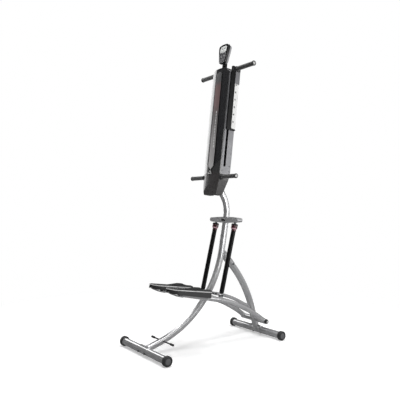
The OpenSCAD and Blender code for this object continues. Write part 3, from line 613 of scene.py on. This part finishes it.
panel_half, insert_half = 36, 30.5
TOWER_FACE = TOWER @ FACE
add("panel_border", plate([panel_outline(panel_half - 0.2), panel_outline(insert_half + 0.2)], 1.4, 2.6, 0.4),
    TOWER_FACE, "cover_black", "frame", material=MATERIALS["cylinder_black"])
add("panel_insert", plate([panel_outline(insert_half)], 1.4, 2.1, 0.15), TOWER_FACE, "decal_grey", "frame",
    material=MATERIALS["panel_insert"])
dashes = [box_outline(7, 11 if i % 3 else 16, 1.2, 9, 352 + i * 21) for i in range(13)]
add("panel_dashes", plate(dashes, 2.0, 2.35, 0.1), TOWER_FACE, "rail_white", "frame")
badge_low, badge_half, badge_rise = 148, 25, 35


def badge_outline(inset):
    """A plain upright triangle, set in from its own edge."""
    foot, peak = badge_half - inset * 1.7, badge_rise - inset * 2
    return softened([(-foot, badge_low + inset), (foot, badge_low + inset), (0, badge_low + peak)], 2)


add("badge_rim", plate([badge_outline(2), badge_outline(6)], 1.4, 5.4, 0.5), TOWER_FACE, "plug_light",
    "frame")
add("badge_field", plate([badge_outline(0)], 1.4, 4.4, 0.3), TOWER_FACE, "cylinder_black", "frame")
# a moulded cap line where the front cover meets the side panels
for side, sign in SIDES:
    line = rod([(sign * 92.1, 24, 168), (sign * 92.1, 24, 880)], 0.8)
    add(f"seam_{side}", line, TOWER, "side_silver", "frame")

# black rings round the white bars' pin holes, painted shade that makes the holes read dark: how many, where
# the lowest is, and how far apart
HOLES, HOLE_AT, HOLE_PITCH = 7, (103.1, 84, 536), 54.5
for side, sign in SIDES:
    turn = sideways(sign)
    for i in range(HOLES):
        rim = lathe([(4.0, -0.6), (4.0, 0.3), (5.4, 0.3), (6.0, -0.1), (6.0, -0.6), (4.0, -0.6)], 24)
        hole = moved(sign * HOLE_AT[0], HOLE_AT[1], HOLE_AT[2] + HOLE_PITCH * i)
        add(f"bar_hole_shade_rim_{side}_{i}", rim, TOWER @ hole @ turn, "cylinder_black", f"slider_{side}")


def screw(name, place, body, r=4.2):
    """A low screw head with a round recess; its axis points out along local Z."""
    head = lathe([(0, -1), (r, -1), (r, 0.4), (r - 0.9, 1.1), (r * 0.52, 1.2), (r * 0.48, -0.6),
                  (0, -0.6)], 24)
    add(name, head, place, "bolt_steel", body)


SIDE_X, HOUSING_X, REAR_Y = 92.0, 91.8, 109.8          # the faces that the screws sit on
for side, sign in SIDES:
    outward = Matrix.Rotation(sign * math.pi / 2, 4, "Y")
    for i, (t, s) in enumerate(((96, 176), (96, 214), (34, 176))):
        screw(f"side_screw_{side}_{i}", TOWER @ moved(sign * SIDE_X, t, s) @ outward, "frame")
    for i, (t, s) in enumerate(((50, 122), (80, 138))):
        screw(f"housing_screw_{side}_{i}", TOWER @ moved(sign * HOUSING_X, t, s) @ outward, "frame", 3.6)
for i, s in enumerate((200, 380, 560, 740, 880)):
    for side, x in (("l", -60), ("r", 60)):
        screw(f"rear_screw_{i}_{side}", TOWER @ moved(x, REAR_Y, s) @ FORWARD.inverted(), "frame")


# ---- console -----------------------------------------------------------------

def console_outline(inset):
    """The console's front view, wider near the top, set in from its own edge."""
    half = ((24, 0), (33, 9), (50, 92), (54.5, 128), (46, 141), (20, 146))
    right = [(u - inset * 0.98, v + (inset if v < 60 else -inset * (v > 120))) for u, v in half]
    return softened([(-u, v) for u, v in reversed(right)] + right, 9)


CONSOLE_FACE = CONSOLE @ FACE
window = softened([(-36, 86), (36, 86), (37.5, 122), (28, 134), (-28, 134), (-37.5, 122)], 5)
keypad = softened([(-20, 4), (20, 4), (29, 14), (37, 74), (30, 80), (-30, 80), (-37, 74), (-29, 14)], 7)
keypad_in = softened([(-18, 7), (18, 7), (26, 16), (33.5, 72), (28, 77), (-28, 77), (-33.5, 72),
                      (-26, 16)], 6)
add("console_body", plate([console_outline(0)], -20, -2.6, 1.2), CONSOLE_FACE, "console_black", "frame",
    ("console_case",))
add("console_bezel", plate([console_outline(0.4), window, keypad_in], -3, 0.8, 1.1), CONSOLE_FACE,
    "console_black", "frame")
add("console_display", plate([box_outline(78, 52, 6, 0, 110)], -3, -1.4, 0.2), CONSOLE_FACE, "display",
    "frame", ("console_lens",))
marks = [box_outline(9, 15, 1.5, u, 114) for u in (-20, -7, 7, 20)]
marks += [box_outline(w, 4, 0.8, u, 96) for u, w in ((-20, 16), (2, 10), (20, 14))]
add("display_marks", plate(marks, -1.5, -1.28, 0.05), CONSOLE_FACE, "key_grey", "frame")
add("keypad_rim", plate([keypad, keypad_in], 0.2, 1.4, 0.5), CONSOLE_FACE, "console_grey", "frame")
add("keypad_plate", plate([keypad_in], -3, -0.9, 0.3), CONSOLE_FACE, "rear_grey", "frame")
add("console_shell", plate([console_outline(4)], -39, -20, 4), CONSOLE_FACE, "console_grey", "frame",
    ("console_back",))
for key, u, v, w, h in (("a", -16, 53, 15, 12), ("b", 16, 53, 15, 12), ("c", 0, 21, 19, 19)):
    dome = lathe([(0, 2.2), (0.35, 2.1), (0.72, 1.4), (0.93, 0.2), (1.0, -1.2), (1.0, -3.0), (0, -3.0)], 40)
    for vertex in dome.vertices:
        vertex.co.x *= w / 2
        vertex.co.y *= h / 2
    add(f"key_{key}_dome", dome, CONSOLE_FACE @ moved(u, v, 0), "key_dark" if key == "c" else "key_grey",
        f"key_{key}", (f"console_key_{key}",))
    well = plate([oval(w + 5, h + 5, u, v), oval(w + 1, h + 1, u, v)], -1.1, 0.4, 0.4)
    add(f"key_{key}_well", well, CONSOLE_FACE, "console_grey" if key == "c" else "cap_rubber", "frame")


# ---- pedals ------------------------------------------------------------------

PEDAL_HALF_L, PEDAL_HALF_W, DECK_Z = 163, 62, 36


def pedal_outline(inset):
    """Round at the heel, rounded corners at the toe, set in from its own edge."""
    r, toe = PEDAL_HALF_W - inset, 18 - inset / 2
    heel_v = PEDAL_HALF_W - PEDAL_HALF_L
    heel = [(r * math.cos(a), heel_v + r * math.sin(a)) for a in (math.pi * (1 + i / 28) for i in range(29))]
    corner = [(r - toe + toe * math.cos(a), PEDAL_HALF_L - inset - toe + toe * math.sin(a))
              for a in (math.pi / 2 * i / 8 for i in range(9))]
    return heel + corner + [(-u, v) for u, v in reversed(corner)]


def tread_rows():
    """Pairs of raised bars across the deck."""
    count, first, pitch = 16, -144, 18
    rows = []
    for i in range(count):
        v = first + i * pitch
        half = math.sqrt(50 ** 2 - max(0, PEDAL_HALF_W - PEDAL_HALF_L - v) ** 2) - (6 if v > 110 else 0)
        for sign in (-1, 1):
            rows.append(box_outline(half - 4, 6, 2.6, sign * (half / 2 + 1), v))
    return rows


for side, sign in SIDES:
    step = f"step_{side}"
    place = tilted(*PEDAL_AT, PEDAL_TILT, sign * STEP_X)
    # the raised rim is coloured light grey as a painted highlight along the deck's edge
    rim = plate([pedal_outline(-0.8), pedal_outline(3.2)], DECK_Z - 4.6, DECK_Z + 0.9, 1.0)
    add(f"pedal_highlight_rim_{side}", rim, place, "pedal_black", step, material=MATERIALS["pedal_highlight_rim"])
    tread = plate(tread_rows(), DECK_Z - 3.5, DECK_Z - 1.0, 0.8)
    add(f"pedal_tread_{side}", tread, place, "pedal_black", step)
    end = tilted(*ARM_END, ARM_TILT, sign * STEP_X) @ FORWARD
    plug = lathe([(0, 5), (7, 4.6), (13.5, 3.6), (17.4, 1.6), (18.2, 0), (18.2, -1), (15.8, -1),
                  (15.8, -5), (0, -5)])
    add(f"arm_plug_{side}", plug, end, "cap_rubber", step)


# ---- cylinders ---------------------------------------------------------------

for side, sign in SIDES:
    place = tilted(*CYLINDER_TOP, CYLINDER_ANGLE - 90, sign * STEP_X)
    knob, damper = f"knob_{side}", f"damper_{side}"
    top = lathe([(8, 19.4), (18, 19.4), (22, 20.8), (23.8, 23.4), (23.8, 30), (22.6, 32), (8, 32)])
    add(f"dial_cap_{side}", top, place, "cap_rubber", knob)
    # a ring under the dial: its own pink, lightened by a painted highlight
    ring = lathe([(15, 51.4), (22, 51.4), (23.2, 52.4), (22.4, 54.4), (17.2, 60.2), (15, 60.0)])
    add(f"dial_highlight_ring_{side}", ring, place, "dial_red", knob, material=MATERIALS["dial_highlight_ring"])
    collar = lathe([(15.4, 61.2), (16.6, 61.2), (17.4, 62.6), (17.4, 72), (16.9, 74), (15.4, 74)])
    add(f"cylinder_collar_{side}", collar, place, "dial_red", damper)
    gland = lathe([(6.2, 516.6), (13.6, 516.6), (13.8, 518.4), (12, 520.6), (8.4, 521.8), (6.2, 521.8)])
    add(f"cylinder_gland_{side}", gland, place, "cap_rubber", damper)


# ---- frame details -----------------------------------------------------------

def along(angle):
    """The direction at that angle in degrees, as (along Y, up)."""
    return math.cos(math.radians(angle)), math.sin(math.radians(angle))


def weld(name, origin, angle, profile, reach, body="frame", x=0.0):
    """A bead round a tube; reach(u, n) is how far along the tube it meets its neighbour."""
    axis, side_way = along(angle), along(angle + 90)
    points = []
    for u, n in profile:
        s = reach(u, n)
        y, z = (origin[k] + s * axis[k] + n * side_way[k] for k in (0, 1))
        points.append((x + u, y, z))
    add(name, rod(points, 2.1, closed=True, swell=0.16), Matrix.Identity(4), "steel_frame", body)


saddle_r, arm_boss_r, leg_r = 29, 19.5, 24
square = box_outline(40.4, 40.4, 13)         # the upright's section


def thick(outline, between=3):
    """More points along an outline, so that a bead follows a curved neighbour."""
    out = []
    for a, b in zip(outline, outline[1:] + outline[:1]):
        out += [(a[0] + (b[0] - a[0]) * k / between, a[1] + (b[1] - a[1]) * k / between)
                for k in range(between)]
    return out


def round_reach(r):
    """For weld(): the neighbour is a round tube of that radius, square to this one."""
    return lambda u, n: math.sqrt(r * r - n * n)


weld("weld_upright_foot", FRONT_TUBE, 17, thick(square), round_reach(saddle_r))
weld("weld_leg_foot", REAR_TUBE, 106, oval(48.4, 48.4, points=72), round_reach(saddle_r))
brace_sine, brace_cosine = 0.719, 0.695      # of the brace's angle to the leg's normal
weld("weld_brace", (421.0, 208.7), 152, oval(24.4, 24.4, points=48),
     lambda u, n: (math.sqrt(leg_r * leg_r - u * u) - brace_sine * n) / brace_cosine)
for side, sign in SIDES:
    weld(f"weld_arm_{side}", AXLE, 144, oval(36.2, 36.2, points=60), round_reach(arm_boss_r),
         f"step_{side}", sign * STEP_X)


def bolt_face(name, place, body="frame"):
    """What a bolt's domed head shows: its socket's rim, and the washer under it."""
    rim = lathe([(2.5, -0.6), (2.7, 0.5), (3.3, 0.8), (4.5, 0.5), (5.1, -0.4), (2.5, -0.6)], 30)
    add(f"{name}_socket", rim, place, "bolt_steel", body)
    ring = lathe([(4.3, -5.7), (9.4, -5.7), (9.8, -5.2), (9.4, -4.5), (4.3, -4.5), (4.3, -5.7)])
    add(f"{name}_washer", ring, place, "axle_steel", body)


SLEEVE_BOLT, BRACE_BOLT, CROSSBAR_BOLT = (32.5, 239.29, 549.17), (29.7, 79, 347), (12, 161.1, 876.2)
EYE_X, CLEVIS_X, BUTTON_X, DISC_SET = 130.5, 128.5, 146, 2.3
bolt_face("sleeve_bolt", moved(*SLEEVE_BOLT) @ ALONG_X)
bolt_face("brace_bolt", moved(*BRACE_BOLT) @ ALONG_X)
for side, sign in SIDES:
    turn = sideways(sign)
    bolt_face(f"crossbar_bolt_{side}", moved(sign * CROSSBAR_BOLT[0], *CROSSBAR_BOLT[1:]) @ FORWARD)
    bolt_face(f"cylinder_bolt_{side}", moved(sign * EYE_X, *CYLINDER_TOP) @ turn)
    bolt_face(f"clevis_{side}", moved(sign * CLEVIS_X, *CLEVIS) @ turn, f"step_{side}")
    for end, tube, half in (("front", FRONT_TUBE, 294), ("rear", REAR_TUBE, 285)):
        disc = lathe([(0, 1.6), (6, 1.5), (7, 0.7), (8, 0.7), (9, 1.4), (17.5, 0.9), (19.4, 0.2),
                      (19.4, -0.6), (0, -0.6)])
        place = moved(sign * (half - DISC_SET), *tube) @ turn
        add(f"foot_disc_{end}_{side}", disc, place, "rear_grey", "frame")
    button = lathe([(0, 1.5), (4.6, 1.2), (6.2, 0.5), (6.6, -0.4), (0, -0.4)])
    add(f"axle_button_{side}", button, moved(sign * BUTTON_X, *AXLE) @ turn, "plug_light", "frame")
